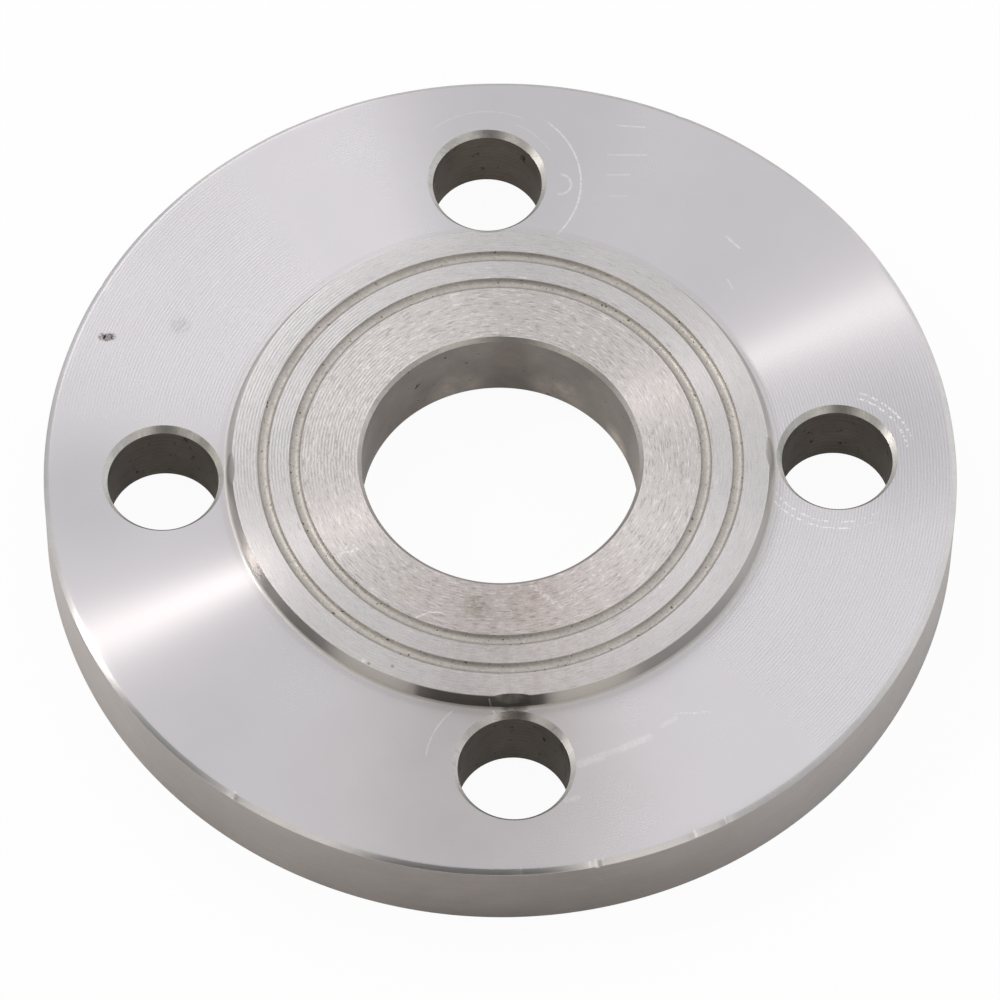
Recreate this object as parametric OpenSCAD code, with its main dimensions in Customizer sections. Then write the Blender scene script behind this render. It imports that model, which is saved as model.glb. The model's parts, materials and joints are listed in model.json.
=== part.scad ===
// Slip-on pipe flange with a raised gasket face, turned and drilled from one plate.
// Millimetres. The origin is the centre of the back face, and +Z points out of the gasket face.

/* [Plate] */
// Outside diameter of the plate
flange_d = 115; // [106:1:130]
// Thickness of the plate at its rim, without the raised face
plate_t = 12; // [8:0.5:20]
// Chamfer that breaks the two edges of the rim
rim_break = 0.3; // [0.1:0.1:1.5]

/* [Raised face] */
// Diameter of the gasket face at its sharp top edge
raised_face_d = 67.6; // [62:0.2:69]
// Height of the gasket face above the plate
raised_face_h = 2; // [1:0.1:3]
// How far the side of the raised face leans out between its top edge and its foot
side_lean = 0.8; // [0.2:0.1:1.6]
// Radius that the tool nose leaves along the foot of the side
foot_fillet_r = 0.6; // [0.1:0.05:1.2]

/* [Gasket grooves] */
// Number of ring grooves in the gasket face
groove_count = 2; // [1:1:3]
// Distance from the edge of the gasket face to the middle of the outermost groove
groove_inset = 3.9; // [2:0.1:5]
// Distance between the middles of neighbouring grooves
groove_pitch = 4; // [2:0.1:5]
// Width of a groove at the gasket face
groove_w = 1.4; // [0.9:0.1:1.8]
// Depth of a groove in its middle
groove_depth = 0.5; // [0.2:0.1:0.6]

/* [Bore] */
// Diameter of the bore, which slips over the pipe
bore_d = 35; // [28:0.5:42]
// Chamfer of the bore at the gasket face
bore_chamfer = 0.5; // [0.2:0.1:1.5]
// Bevel of the bore at the back, which takes the weld
weld_bevel = 2; // [0.5:0.1:4]

/* [Bolt holes] */
// Diameter of the circle through the middles of the bolt holes
bolt_circle_d = 85; // [82:0.5:90]
// Number of bolt holes
bolt_count = 4; // [3:1:8]
// Diameter of a bolt hole
bolt_hole_d = 14; // [10:0.5:16]
// Width of the countersink of a bolt hole, seen from the front, at both faces
bolt_chamfer = 0.65; // [0.2:0.05:1.2]
// Full angle of the countersinks' cone
sink_angle = 70; // [60:1:100]

/* [Hidden] */
$fn = 128;

flange_r = flange_d / 2;
raised_face_r = raised_face_d / 2;
side_foot_r = raised_face_r + side_lean;
bore_r = bore_d / 2;
bolt_hole_r = bolt_hole_d / 2;
total_t = plate_t + raised_face_h;

// Angle of the side above the plate, and how far its fillet reaches from the corner
side_angle = atan2(raised_face_h, side_lean);
fillet_reach = foot_fillet_r * tan(side_angle / 2);

// Radius of the round tool nose that gives the grooves their width and depth
groove_nose_r = (pow(groove_w / 2, 2) + pow(groove_depth, 2)) / (2 * groove_depth);

// How far the countersinks' cone widens for each millimetre of height, and how deep it goes
sink_slope = tan(sink_angle / 2);
sink_depth = bolt_chamfer / sink_slope;

// How far a cutter runs out past the face that it cuts
runout = 1;

// Right half of the turned section, before the grooves are cut
module turned_outline() {
    polygon([
        [bore_r + weld_bevel, 0],
        [flange_r - rim_break, 0],
        [flange_r, rim_break],
        [flange_r, plate_t - rim_break],
        [flange_r - rim_break, plate_t],
        [side_foot_r, plate_t],
        [raised_face_r, total_t],
        [bore_r + bore_chamfer, total_t],
        [bore_r, total_t - bore_chamfer],
        [bore_r, weld_bevel],
    ]);
}

// Fillet in the corner between the plate and the leaning side
module foot_fillet() {
    corner = [side_foot_r, plate_t];
    on_plate = corner + [fillet_reach, 0];
    on_side = corner + fillet_reach * [-cos(side_angle), sin(side_angle)];
    middle = on_plate + [0, foot_fillet_r];
    difference() {
        polygon([corner, on_plate, middle, on_side]);
        translate(middle) circle(r = foot_fillet_r);
    }
}

// Round nose of the tool that cuts one groove, with the middle of the groove's mouth at the origin
module groove_tool() {
    translate([0, groove_nose_r - groove_depth]) circle(r = groove_nose_r);
}

// Everything that the lathe makes
module turned_body() {
    rotate_extrude() difference() {
        union() {
            turned_outline();
            foot_fillet();
        }
        for (i = [0 : groove_count - 1])
            translate([raised_face_r - groove_inset - i * groove_pitch, total_t]) groove_tool();
    }
}

// Drill and countersinks of one bolt hole. The front countersink runs on upwards at the same slope,
// so that it also clears a shallow scallop in the edge of the raised face
module bolt_hole_tool() {
    front_reach = sink_depth + raised_face_h + runout;
    back_reach = sink_depth + runout;
    translate([0, 0, -runout])
        cylinder(h = total_t + 2 * runout, r = bolt_hole_r);
    translate([0, 0, plate_t - sink_depth])
        cylinder(h = front_reach, r1 = bolt_hole_r, r2 = bolt_hole_r + front_reach * sink_slope);
    translate([0, 0, -runout])
        cylinder(h = back_reach, r1 = bolt_hole_r + back_reach * sink_slope, r2 = bolt_hole_r);
}

// The whole flange: one turned plate with its ring of bolt holes
module flange() {
    color("lightgray") difference() {
        turned_body();
        for (i = [0 : bolt_count - 1])
            rotate(i * 360 / bolt_count) translate([bolt_circle_d / 2, 0, 0]) bolt_hole_tool();
    }
}

flange();
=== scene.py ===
"""Visual model of a slip-on pipe flange: a turned and drilled steel plate on a pale studio floor."""
import json
import logging
import math
from dataclasses import dataclass, field
from enum import Enum

import bmesh
import bpy
from mathutils import Matrix, Vector

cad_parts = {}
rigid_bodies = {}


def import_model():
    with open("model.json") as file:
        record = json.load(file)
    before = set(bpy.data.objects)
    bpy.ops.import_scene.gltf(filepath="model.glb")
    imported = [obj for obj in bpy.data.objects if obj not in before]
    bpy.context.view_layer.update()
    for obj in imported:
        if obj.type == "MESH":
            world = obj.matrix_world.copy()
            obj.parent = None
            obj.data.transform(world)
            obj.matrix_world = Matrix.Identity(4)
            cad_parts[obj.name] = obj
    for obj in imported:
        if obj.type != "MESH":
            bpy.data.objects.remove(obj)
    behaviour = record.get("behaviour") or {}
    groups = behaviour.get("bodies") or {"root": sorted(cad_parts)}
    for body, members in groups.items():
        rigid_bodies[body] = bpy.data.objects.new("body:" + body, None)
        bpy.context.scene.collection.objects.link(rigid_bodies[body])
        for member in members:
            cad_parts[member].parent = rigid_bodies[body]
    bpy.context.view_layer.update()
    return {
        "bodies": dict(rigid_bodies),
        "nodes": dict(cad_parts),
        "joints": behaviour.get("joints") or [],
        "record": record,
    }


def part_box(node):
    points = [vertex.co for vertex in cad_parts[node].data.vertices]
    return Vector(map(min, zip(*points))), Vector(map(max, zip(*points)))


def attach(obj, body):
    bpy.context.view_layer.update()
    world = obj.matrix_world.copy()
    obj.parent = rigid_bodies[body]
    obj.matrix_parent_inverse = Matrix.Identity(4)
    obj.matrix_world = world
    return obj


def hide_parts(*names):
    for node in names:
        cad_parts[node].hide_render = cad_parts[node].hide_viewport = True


LOG = logging.getLogger("flange")
MM = 0.001

# Lengths in millimetres
MEAN_R = 30.0
TEXTURE_HEIGHT = 0.004
TICK_END_R = 57.35

# Shares and limits of the finishes
FINE_TOUCH = 3.0
SCRATCH_CORE = 0.3
SCRATCH_TAPER = 0.8
ROUGH_SWING = 0.08
QUARTER_TURN = 0.25

Colour = tuple[float, float, float]
Point = tuple[float, float]
Socket = bpy.types.NodeSocket


def cos_deg(angle: float) -> float:
    """Returns the cosine of an angle in degrees."""
    return math.cos(math.radians(angle))


def sin_deg(angle: float) -> float:
    """Returns the sine of an angle in degrees."""
    return math.sin(math.radians(angle))


def link_object(name: str, data: bpy.types.ID) -> bpy.types.Object:
    """Makes an object and links it to the scene.

    Args:
        name: Name of the object.
        data: Its mesh, lamp or camera.

    Returns:
        The new object, at the origin.
    """
    made = bpy.data.objects.new(name, data)
    bpy.context.scene.collection.objects.link(made)
    return made


class Zone(Enum):
    """Parts of the flange's surface that were cut by different tools."""

    PLATE = "plate_face"
    GASKET = "gasket_face"
    GROOVE = "ring_groove"
    SIDE = "step_side"
    FOOT = "foot_fillet"
    SCALLOP = "step_scallop"
    RIM = "rim"
    EDGE = "broken_edge"
    BREAK = "worn_bevel"
    BORE = "bore_wall"
    BEVEL = "bore_bevel"
    DRILLED = "drilled_wall"
    SINK = "countersink"
    BACK = "back_face"


class Feed(Enum):
    """Way in which the lathe tool moved while it cut a surface."""

    ACROSS = "radius"
    ALONG = "height"


class Canvas:
    """Adds nodes to a tree and links them, one call for each node."""

    def __init__(self, tree: bpy.types.NodeTree) -> None:
        """Keeps the tree and clears it."""
        self.tree = tree
        self.tree.nodes.clear()

    def put(self, target: Socket, value: object) -> None:
        """Links a socket to a target, or sets the target's own value.

        Args:
            target: Input socket that gets the value.
            value: Another node's output socket, or a plain number, colour or vector.
        """
        if isinstance(value, bpy.types.NodeSocket):
            self.tree.links.new(value, target)
        elif isinstance(value, tuple) and len(value) == 3 and target.type == "RGBA":
            target.default_value = (*value, 1.0)
        else:
            target.default_value = value

    def node(
        self, kind: str, inputs: dict[str | int, object] | None = None, **settings: object
    ) -> bpy.types.Node:
        """Adds one node.

        Args:
            kind: Blender's name of the node type.
            inputs: Values or sockets by input name or index.
            settings: Plain properties of the node.

        Returns:
            The new node.
        """
        made = self.tree.nodes.new(kind)
        for name, setting in settings.items():
            setattr(made, name, setting)
        for key, value in (inputs or {}).items():
            self.put(made.inputs[key], value)
        return made

    def math(self, operation: str, first: object, second: object = 0.0, clamp: bool = False) -> Socket:
        """Adds a Math node and returns its value."""
        made = self.node("ShaderNodeMath", {0: first, 1: second}, operation=operation, use_clamp=clamp)
        return made.outputs[0]

    def vector(self, operation: str, first: object, second: object = None, scale: object = None) -> Socket:
        """Adds a Vector Math node.

        Args:
            operation: Blender's name of the operation.
            first: First vector.
            second: Second vector, where the operation has one.
            scale: Factor, for the operation SCALE.

        Returns:
            The number that LENGTH, DISTANCE and DOT_PRODUCT give, and otherwise the vector.
        """
        made = self.node("ShaderNodeVectorMath", {0: first}, operation=operation)
        if second is not None:
            self.put(made.inputs[1], second)
        if scale is not None:
            self.put(made.inputs["Scale"], scale)
        return made.outputs["Value" if operation in ("LENGTH", "DISTANCE", "DOT_PRODUCT") else "Vector"]

    def combine(self, x: object, y: object, z: object) -> Socket:
        """Adds a Combine XYZ node and returns its vector."""
        return self.node("ShaderNodeCombineXYZ", {0: x, 1: y, 2: z}).outputs[0]

    def noise(self, place: Socket, scale: float, detail: float = 2.0, roughness: float = 0.5) -> Socket:
        """Adds a Noise Texture and returns its value."""
        inputs = {"Vector": place, "Scale": scale, "Detail": detail, "Roughness": roughness}
        return self.node("ShaderNodeTexNoise", inputs).outputs[0]

    def ramp(self, value: object, start: float, end: float, low: float = 0.0, high: float = 1.0) -> Socket:
        """Maps a value from start and end to low and high, clamped and eased."""
        inputs = {0: value, 1: start, 2: end, 3: low, 4: high}
        return self.node("ShaderNodeMapRange", inputs, interpolation_type="SMOOTHSTEP", clamp=True).outputs[0]

    def blend(self, factor: object, first: object, second: object) -> Socket:
        """Mixes two colours and returns the result."""
        made = self.node("ShaderNodeMix", {0: factor, 6: first, 7: second}, data_type="RGBA")
        return made.outputs[2]

    def tint(self, factor: object, colour: object, tint: object) -> Socket:
        """Multiplies a colour by a tint, by a factor, and returns the result."""
        inputs = {0: factor, 6: colour, 7: tint}
        return self.node("ShaderNodeMix", inputs, data_type="RGBA", blend_type="MULTIPLY").outputs[2]

    def swing(self, value: object, amount: float) -> Socket:
        """Returns how far a value lies from its middle, 0.5, times twice an amount."""
        return self.math("MULTIPLY", self.math("SUBTRACT", value, 0.5), amount * 2.0)

    def towards(self, way: Socket, angle: float) -> Socket:
        """Returns the cosine between a level direction and one at an angle from +X, in degrees."""
        return self.vector("DOT_PRODUCT", way, (cos_deg(angle), sin_deg(angle), 0.0))

    def widest(self, values: list[Socket]) -> Socket:
        """Finds the greatest of several values.

        Args:
            values: One value or more.

        Returns:
            The greatest of them at each place.
        """
        result = values[0]
        for value in values[1:]:
            result = self.math("MAXIMUM", result, value)
        return result


class Places:
    """Places on the flange, in millimetres, that its finishes read from Object coordinates."""

    def __init__(self, canvas: Canvas) -> None:
        """Adds the nodes that find the radius, the height and the direction from the axis.

        Args:
            canvas: Node helper of the material.
        """
        found = canvas.node("ShaderNodeTexCoord").outputs["Object"]
        self.canvas = canvas
        self.point = canvas.vector("SCALE", found, scale=1.0 / MM)
        split = canvas.node("ShaderNodeSeparateXYZ", {0: self.point})
        self.height = split.outputs[2]
        self.flat = canvas.combine(split.outputs[0], split.outputs[1], 0.0)
        self.radius = canvas.vector("LENGTH", self.flat)
        self.direction = canvas.vector("NORMALIZE", self.flat)

    def ring(self, feed: Feed, pitch: float, turns: float) -> Socket:
        """Gives a place that runs quickly across the tool marks and slowly along them.

        Args:
            feed: Way in which the tool moved.
            pitch: Distance across the marks, in millimetres, that counts as one.
            turns: How many units one radian along the marks counts.

        Returns:
            The place as a vector.
        """
        across = self.radius if feed is Feed.ACROSS else self.height
        split = self.canvas.node("ShaderNodeSeparateXYZ", {0: self.direction})
        return self.canvas.combine(
            self.canvas.math("DIVIDE", across, pitch),
            self.canvas.math("MULTIPLY", split.outputs[0], turns),
            self.canvas.math("MULTIPLY", split.outputs[1], turns),
        )


@dataclass(frozen=True)
class Lobe:
    """Range of directions from the axis, in degrees, in which the turning lines show clearly."""

    middle: float
    full: float
    fade: float

    def draw(self, canvas: Canvas, places: Places) -> Socket:
        """Adds the nodes of the range and returns its mask, from 0 to 1."""
        facing = canvas.towards(places.direction, self.middle)
        return canvas.ramp(facing, cos_deg(self.full + self.fade), cos_deg(self.full))


@dataclass(frozen=True)
class TurningLines:
    """Fine rings that the lathe tool leaves, in millimetres."""

    feed: Feed = Feed.ACROSS
    pitch: float = 0.40
    depth: float = 0.006
    contrast: float = 0.5
    wander: float = 0.5
    wander_pitch: float = 5.0
    wander_turns: float = 0.6
    ragged: float = 0.5
    tear: float = 4.0
    patch_pitch: float = 0.6
    patch_turns: float = 30.0
    lobes: tuple[Lobe, ...] = ()
    faint: float = 0.25
    calm: float = 1.0

    def draw(self, canvas: Canvas, places: Places) -> Socket:
        """Adds the nodes of the rings.

        Args:
            canvas: Node helper of the material.
            places: Places on the flange.

        Returns:
            The height of the rings, from about 0 to 1.
        """
        across = places.radius if self.feed is Feed.ACROSS else places.height
        drift = canvas.noise(places.ring(self.feed, self.wander_pitch, self.wander_turns), 1.0)
        shifted = canvas.math("ADD", canvas.math("DIVIDE", across, self.pitch),
                              canvas.math("MULTIPLY", drift, self.wander * 2.0))
        wave = canvas.math("SINE", canvas.math("MULTIPLY", shifted, math.tau))
        patchy = canvas.noise(places.ring(self.feed, self.patch_pitch, self.patch_turns), 1.0, 2.0, 0.6)
        uneven = canvas.ramp(patchy, 0.32, 0.62, 0.1, 1.0)
        swing = canvas.math("MULTIPLY", canvas.math("MULTIPLY", wave, 0.5), uneven)
        torn = canvas.noise(places.ring(self.feed, self.pitch * 0.45, MEAN_R / self.tear), 1.0, 2.0, 0.65)
        loose = canvas.swing(torn, self.ragged)
        if self.lobes:
            clear = canvas.widest([lobe.draw(canvas, places) for lobe in self.lobes])
            swing = canvas.math("MULTIPLY", swing, canvas.ramp(clear, 0.0, 1.0, self.faint, 1.0))
            loose = canvas.math("MULTIPLY", loose, canvas.ramp(clear, 0.0, 1.0, self.calm, 1.0))
        return canvas.math("ADD", canvas.math("ADD", swing, loose), 0.5)


@dataclass(frozen=True)
class Dashes:
    """Short torn dashes along the turning marks."""

    length: float = 1.4
    width: float = 0.22
    light: float = 0.5
    dark: float = 0.5
    inside_r: float = 0.0
    fade: float = 3.0
    outside: float = 0.2


@dataclass(frozen=True)
class Specks:
    """Small dark pits or specks of dirt."""

    size: float = 0.6
    amount: float = 0.3
    colour: Colour = (0.06, 0.045, 0.035)
    depth: float = 0.03
    stretch: float = 1.0
    soft: float = 0.06


@dataclass(frozen=True)
class ArcScratch:
    """Curved scratch about a centre, in millimetres and degrees."""

    centre: Point
    radius: float
    middle: float
    sweep: float
    width: float = 0.14
    strength: float = 0.6
    broken: float = 0.0

    def draw(self, canvas: Canvas, places: Places) -> Socket:
        """Adds the nodes of the scratch.

        Args:
            canvas: Node helper of the material.
            places: Places on the flange.

        Returns:
            Where the scratch shows, from 0 to its strength.
        """
        away = canvas.vector("SUBTRACT", places.flat, (*self.centre, 0.0))
        off = canvas.math("ABSOLUTE", canvas.math("SUBTRACT", canvas.vector("LENGTH", away), self.radius))
        line = canvas.ramp(off, self.width, self.width * SCRATCH_CORE, 0.0, self.strength)
        facing = canvas.towards(canvas.vector("NORMALIZE", away), self.middle)
        half = self.sweep / 2
        window = canvas.ramp(facing, cos_deg(half), cos_deg(half * SCRATCH_TAPER))
        return canvas.math("MULTIPLY", line, window)


@dataclass(frozen=True)
class StraightScratch:
    """Straight scratch between two places, in millimetres."""

    start: Point
    end: Point
    width: float = 0.14
    strength: float = 0.6
    broken: float = 0.0

    def draw(self, canvas: Canvas, places: Places) -> Socket:
        """Adds the nodes of the scratch.

        Args:
            canvas: Node helper of the material.
            places: Places on the flange.

        Returns:
            Where the scratch shows, from 0 to its strength.
        """
        along = Vector(self.end) - Vector(self.start)
        away = canvas.vector("SUBTRACT", places.flat, (*self.start, 0.0))
        reach = along / along.length_squared
        passed = canvas.vector("DOT_PRODUCT", away, (reach.x, reach.y, 0.0))
        share = canvas.math("ADD", passed, 0.0, clamp=True)
        foot = canvas.vector("SCALE", (along.x, along.y, 0.0), scale=share)
        off = canvas.vector("DISTANCE", away, foot)
        return canvas.ramp(off, self.width, self.width * SCRATCH_CORE, 0.0, self.strength)


def scratch_grain(canvas: Canvas, places: Places, broken: float) -> Socket:
    """Gives the grain that breaks scratches up into touches.

    Args:
        canvas: Node helper of the material.
        places: Places on the flange.
        broken: Touches in a millimetre, or 0 for an unbroken scratch.

    Returns:
        The share of a scratch that shows at each place.
    """
    if broken == 0.0:
        return canvas.ramp(canvas.noise(places.flat, 2.2, 2.0), 0.3, 0.6, 0.35, 1.0)
    edge = 0.46 if broken < FINE_TOUCH else 0.50
    return canvas.ramp(canvas.noise(places.flat, broken, 1.0), edge, edge + 0.12)


@dataclass(frozen=True)
class StainAndPaintedLight:
    """Soft patch that tints the steel, in millimetres: it draws real stains and smudges, and also painted
    shade and painted light.
    """

    centre: Point
    radius: float
    tint: Colour
    strength: float = 0.5
    grain: float = 0.8
    inner: float = 0.2
    ring: float = 0.0
    height: float | None = None
    mottle: float | None = None

    def draw(self, canvas: Canvas, places: Places) -> Socket:
        """Adds the nodes of the patch.

        Args:
            canvas: Node helper of the material.
            places: Places on the flange.

        Returns:
            Where the patch shows, from 0 to its strength.
        """
        if self.height is None:
            off = canvas.vector("DISTANCE", places.flat, (*self.centre, 0.0))
        else:
            off = canvas.vector("DISTANCE", places.point, (*self.centre, self.height))
        if self.ring > 0.0:
            off = canvas.math("ABSOLUTE", canvas.math("SUBTRACT", off, self.ring))
        mask = canvas.ramp(off, self.radius, self.radius * self.inner, 0.0, self.strength)
        if self.grain > 0.0:
            scale = self.mottle or 2.4 / max(self.radius, 0.8)
            patches = canvas.noise(places.point, scale, 3.0, 0.7)
            mask = canvas.math("MULTIPLY", mask, canvas.ramp(patches, 0.35, 0.65, 1.0 - self.grain, 1.0))
        return mask


@dataclass(frozen=True)
class SteelFinish:
    """Procedural steel finish of one zone."""

    name: str
    colour: Colour
    roughness: float
    anisotropy: float = 0.0
    spread: float = 0.12
    cloud: float = 0.25
    cloud_size: float = 14.0
    grit: float = 0.2
    lines: TurningLines | None = None
    dashes: Dashes | None = None
    specks: Specks | None = None
    scratches: tuple[ArcScratch | StraightScratch, ...] = ()
    stains_and_painted_light: tuple[StainAndPaintedLight, ...] = ()
    scratch_and_glint_colour: Colour = (0.92, 0.91, 0.90)
    flatten: float = 1.0

    def build(self) -> bpy.types.Material:
        """Builds the material.

        Returns:
            A metal with the finish's rings, dashes, stains and painted shade and light, specks and scratches.
        """
        material = bpy.data.materials.new(self.name)
        material.use_nodes = True
        canvas = Canvas(material.node_tree)
        places = Places(canvas)
        tone, height = self._tone(canvas, places)
        colour = canvas.blend(tone, self._shade(1.0 - self.spread), self._shade(1.0 + self.spread))
        smoother = canvas.math("MULTIPLY", tone, -ROUGH_SWING)
        rough = canvas.math("ADD", smoother, self.roughness + ROUGH_SWING / 2)
        colour = self._add_stains_and_painted_light(canvas, places, colour)
        colour, height = self._specked(canvas, places, colour, height)
        colour = self._scratched(canvas, places, colour)
        bump = canvas.node("ShaderNodeBump", {"Strength": 1.0, "Distance": MM, "Height": height})
        if self.flatten != 1.0:
            facing = canvas.node("ShaderNodeTexCoord").outputs["Normal"]
            flatter = canvas.vector("MULTIPLY", facing, (1.0, 1.0, self.flatten))
            canvas.put(bump.inputs["Normal"], canvas.vector("NORMALIZE", flatter))
        shader = canvas.node("ShaderNodeBsdfPrincipled", {
            "Base Color": colour,
            "Metallic": 1.0,
            "Roughness": rough,
            "Anisotropic": self.anisotropy,
            "Anisotropic Rotation": QUARTER_TURN,
            "Normal": bump.outputs[0],
        })
        if self.anisotropy > 0.0:
            around = canvas.node("ShaderNodeTangent", direction_type="RADIAL", axis="Z")
            canvas.put(shader.inputs["Tangent"], around.outputs[0])
        canvas.node("ShaderNodeOutputMaterial", {"Surface": shader.outputs[0]})
        return material

    def _shade(self, factor: float) -> Colour:
        """Returns the finish's colour, made lighter or darker."""
        return tuple(min(1.0, part * factor) for part in self.colour)

    def _tone(self, canvas: Canvas, places: Places) -> tuple[Socket, Socket]:
        """Adds the patterns that cover the whole zone.

        Args:
            canvas: Node helper of the material.
            places: Places on the flange.

        Returns:
            The tone from 0, dark, to 1, light, and the height in millimetres.
        """
        cloud = canvas.noise(places.point, 1.0 / self.cloud_size, 4.0, 0.6)
        grit = canvas.noise(places.point, 5.0, 3.0, 0.7)
        tone = canvas.math("ADD", canvas.swing(cloud, self.cloud), 0.5)
        tone = canvas.math("ADD", tone, canvas.swing(grit, self.grit))
        height = canvas.math("MULTIPLY", grit, TEXTURE_HEIGHT * self.grit)
        if self.lines:
            rings = self.lines.draw(canvas, places)
            tone = canvas.math("ADD", tone, canvas.swing(rings, self.lines.contrast))
            height = canvas.math("ADD", height, canvas.math("MULTIPLY", rings, self.lines.depth))
        if self.dashes:
            feed = self.lines.feed if self.lines else Feed.ACROSS
            field_r = self.dashes.inside_r or MEAN_R
            along = places.ring(feed, self.dashes.width, field_r / self.dashes.length)
            torn = canvas.noise(along, 1.0, 2.0, 0.6)
            light = canvas.ramp(torn, 0.58, 0.72, 0.0, self.dashes.light)
            dark = canvas.ramp(torn, 0.42, 0.30, 0.0, self.dashes.dark)
            step = canvas.math("SUBTRACT", light, dark)
            if self.dashes.inside_r:
                outer_r = self.dashes.inside_r + self.dashes.fade
                share = canvas.ramp(places.radius, self.dashes.inside_r, outer_r, 1.0, self.dashes.outside)
                step = canvas.math("MULTIPLY", step, share)
            tone = canvas.math("ADD", tone, step)
            height = canvas.math("ADD", height, canvas.math("MULTIPLY", step, TEXTURE_HEIGHT))
        return canvas.math("ADD", tone, 0.0, clamp=True), height

    def _add_stains_and_painted_light(self, canvas: Canvas, places: Places, colour: Socket) -> Socket:
        """Adds the finish's stains and its painted shade and light over a colour.

        Args:
            canvas: Node helper of the material.
            places: Places on the flange.
            colour: Colour under the stains and painted light.

        Returns:
            The new colour.
        """
        for tinted_patch in self.stains_and_painted_light:
            colour = canvas.tint(tinted_patch.draw(canvas, places), colour, tinted_patch.tint)
        return colour

    def _scratched(self, canvas: Canvas, places: Places, colour: Socket) -> Socket:
        """Adds the finish's scratches over a colour.

        Args:
            canvas: Node helper of the material.
            places: Places on the flange.
            colour: Colour under the scratches.

        Returns:
            The new colour.
        """
        if not self.scratches:
            return colour
        kinds = sorted({scratch.broken for scratch in self.scratches})
        grains = {broken: scratch_grain(canvas, places, broken) for broken in kinds}
        masks = [
            canvas.math("MULTIPLY", scratch.draw(canvas, places), grains[scratch.broken])
            for scratch in self.scratches
        ]
        return canvas.blend(canvas.widest(masks), colour, self.scratch_and_glint_colour)

    def _specked(
        self, canvas: Canvas, places: Places, colour: Socket, height: Socket
    ) -> tuple[Socket, Socket]:
        """Adds the finish's specks, where it has any.

        Args:
            canvas: Node helper of the material.
            places: Places on the flange.
            colour: Colour round the specks.
            height: Height round the specks, in millimetres.

        Returns:
            The new colour and height.
        """
        if not self.specks:
            return colour, height
        stretched = canvas.vector("MULTIPLY", places.point, (1.0, 1.0, 1.0 / self.specks.stretch))
        field_value = canvas.noise(stretched, 0.8 / self.specks.size, 2.0, 0.5)
        edge = 0.78 - 0.3 * self.specks.amount
        mask = canvas.ramp(field_value, edge, edge + self.specks.soft)
        colour = canvas.blend(mask, colour, self.specks.colour)
        height = canvas.math("SUBTRACT", height, canvas.math("MULTIPLY", mask, self.specks.depth))
        return colour, height


def edge_glint_tick(angle: float, inner: float, width: float) -> StraightScratch:
    """Returns a short bright tick across the rim's front edge at a nick, worn bright metal with a painted
    glint, in degrees and millimetres.
    """
    along = Vector((cos_deg(angle), sin_deg(angle)))
    return StraightScratch(tuple(along * inner), tuple(along * TICK_END_R), width)


# Bright ticks at the rim's nicks: worn bright metal, with a painted glint on top.
EDGE_GLINT_TICKS = (
    edge_glint_tick(-127.5, 56.8, 0.3),
    edge_glint_tick(-89.7, 56.8, 0.16),
    edge_glint_tick(-81.2, 56.9, 0.2),
    edge_glint_tick(-80.4, 56.8, 0.3),
    edge_glint_tick(-79.5, 56.9, 0.24),
    edge_glint_tick(-67.4, 56.8, 0.3),
    edge_glint_tick(-63.2, 56.8, 0.2),
)

PLATE_SCRATCHES = EDGE_GLINT_TICKS + (
    ArcScratch((0.4, 42.3), 11.6, 2.0, 100.0, 0.18, 0.75),
    ArcScratch((0.0, 42.5), 10.4, 95.0, 75.0, 0.14, 0.25),
    ArcScratch((9.2, 41.6), 1.5, -10.0, 200.0, 0.24, 0.55),
    ArcScratch((0.0, 42.5), 9.2, 45.0, 40.0, 0.14, 0.25),
    ArcScratch((42.5, 0.0), 9.0, 40.0, 70.0, 0.22, 0.85, 2.6),
    ArcScratch((42.5, 0.0), 9.8, 42.0, 60.0, 0.22, 0.85, 2.6),
    ArcScratch((42.5, 0.0), 9.4, -105.0, 95.0, 0.18, 0.65, 1.9),
    ArcScratch((42.5, 0.0), 10.3, -108.0, 85.0, 0.18, 0.7, 1.9),
    ArcScratch((-0.6, -42.5), 10.4, 150.0, 44.0, 0.15, 0.35),
    StraightScratch((8.2, -42.6), (10.8, -41.6), 0.8, 0.24),
    StraightScratch((10.8, -41.4), (13.6, -40.6), 0.6, 0.18),
    StraightScratch((13.4, -40.6), (16.8, -39.1), 0.7, 0.26),
    StraightScratch((18.6, -37.6), (20.2, -36.6), 0.5, 0.22),
    StraightScratch((20.4, -35.9), (24.5, -35.9), 0.2, 0.7, 4.6),
    StraightScratch((6.2, -47.6), (7.6, -47.3), 0.5, 0.2),
    StraightScratch((17.0, 50.2), (20.6, 49.8), 0.16, 0.5),
    StraightScratch((15.6, 45.8), (20.6, 45.6), 0.15, 0.4),
    StraightScratch((15.4, 42.8), (18.2, 42.7), 0.15, 0.4),
    StraightScratch((15.6, 39.6), (17.8, 39.5), 0.13, 0.3),
    StraightScratch((30.2, 33.0), (31.8, 31.2), 0.22, 0.5),
    StraightScratch((30.0, 26.6), (30.6, 25.2), 0.15, 0.4),
    StraightScratch((-2.4, -34.6), (-1.7, -35.8), 0.16, 0.6),
)

SIDE_SCRATCHES = (
    StraightScratch((-2.75, -33.9), (-2.4, -34.6), 0.13, 0.8),
)

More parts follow.
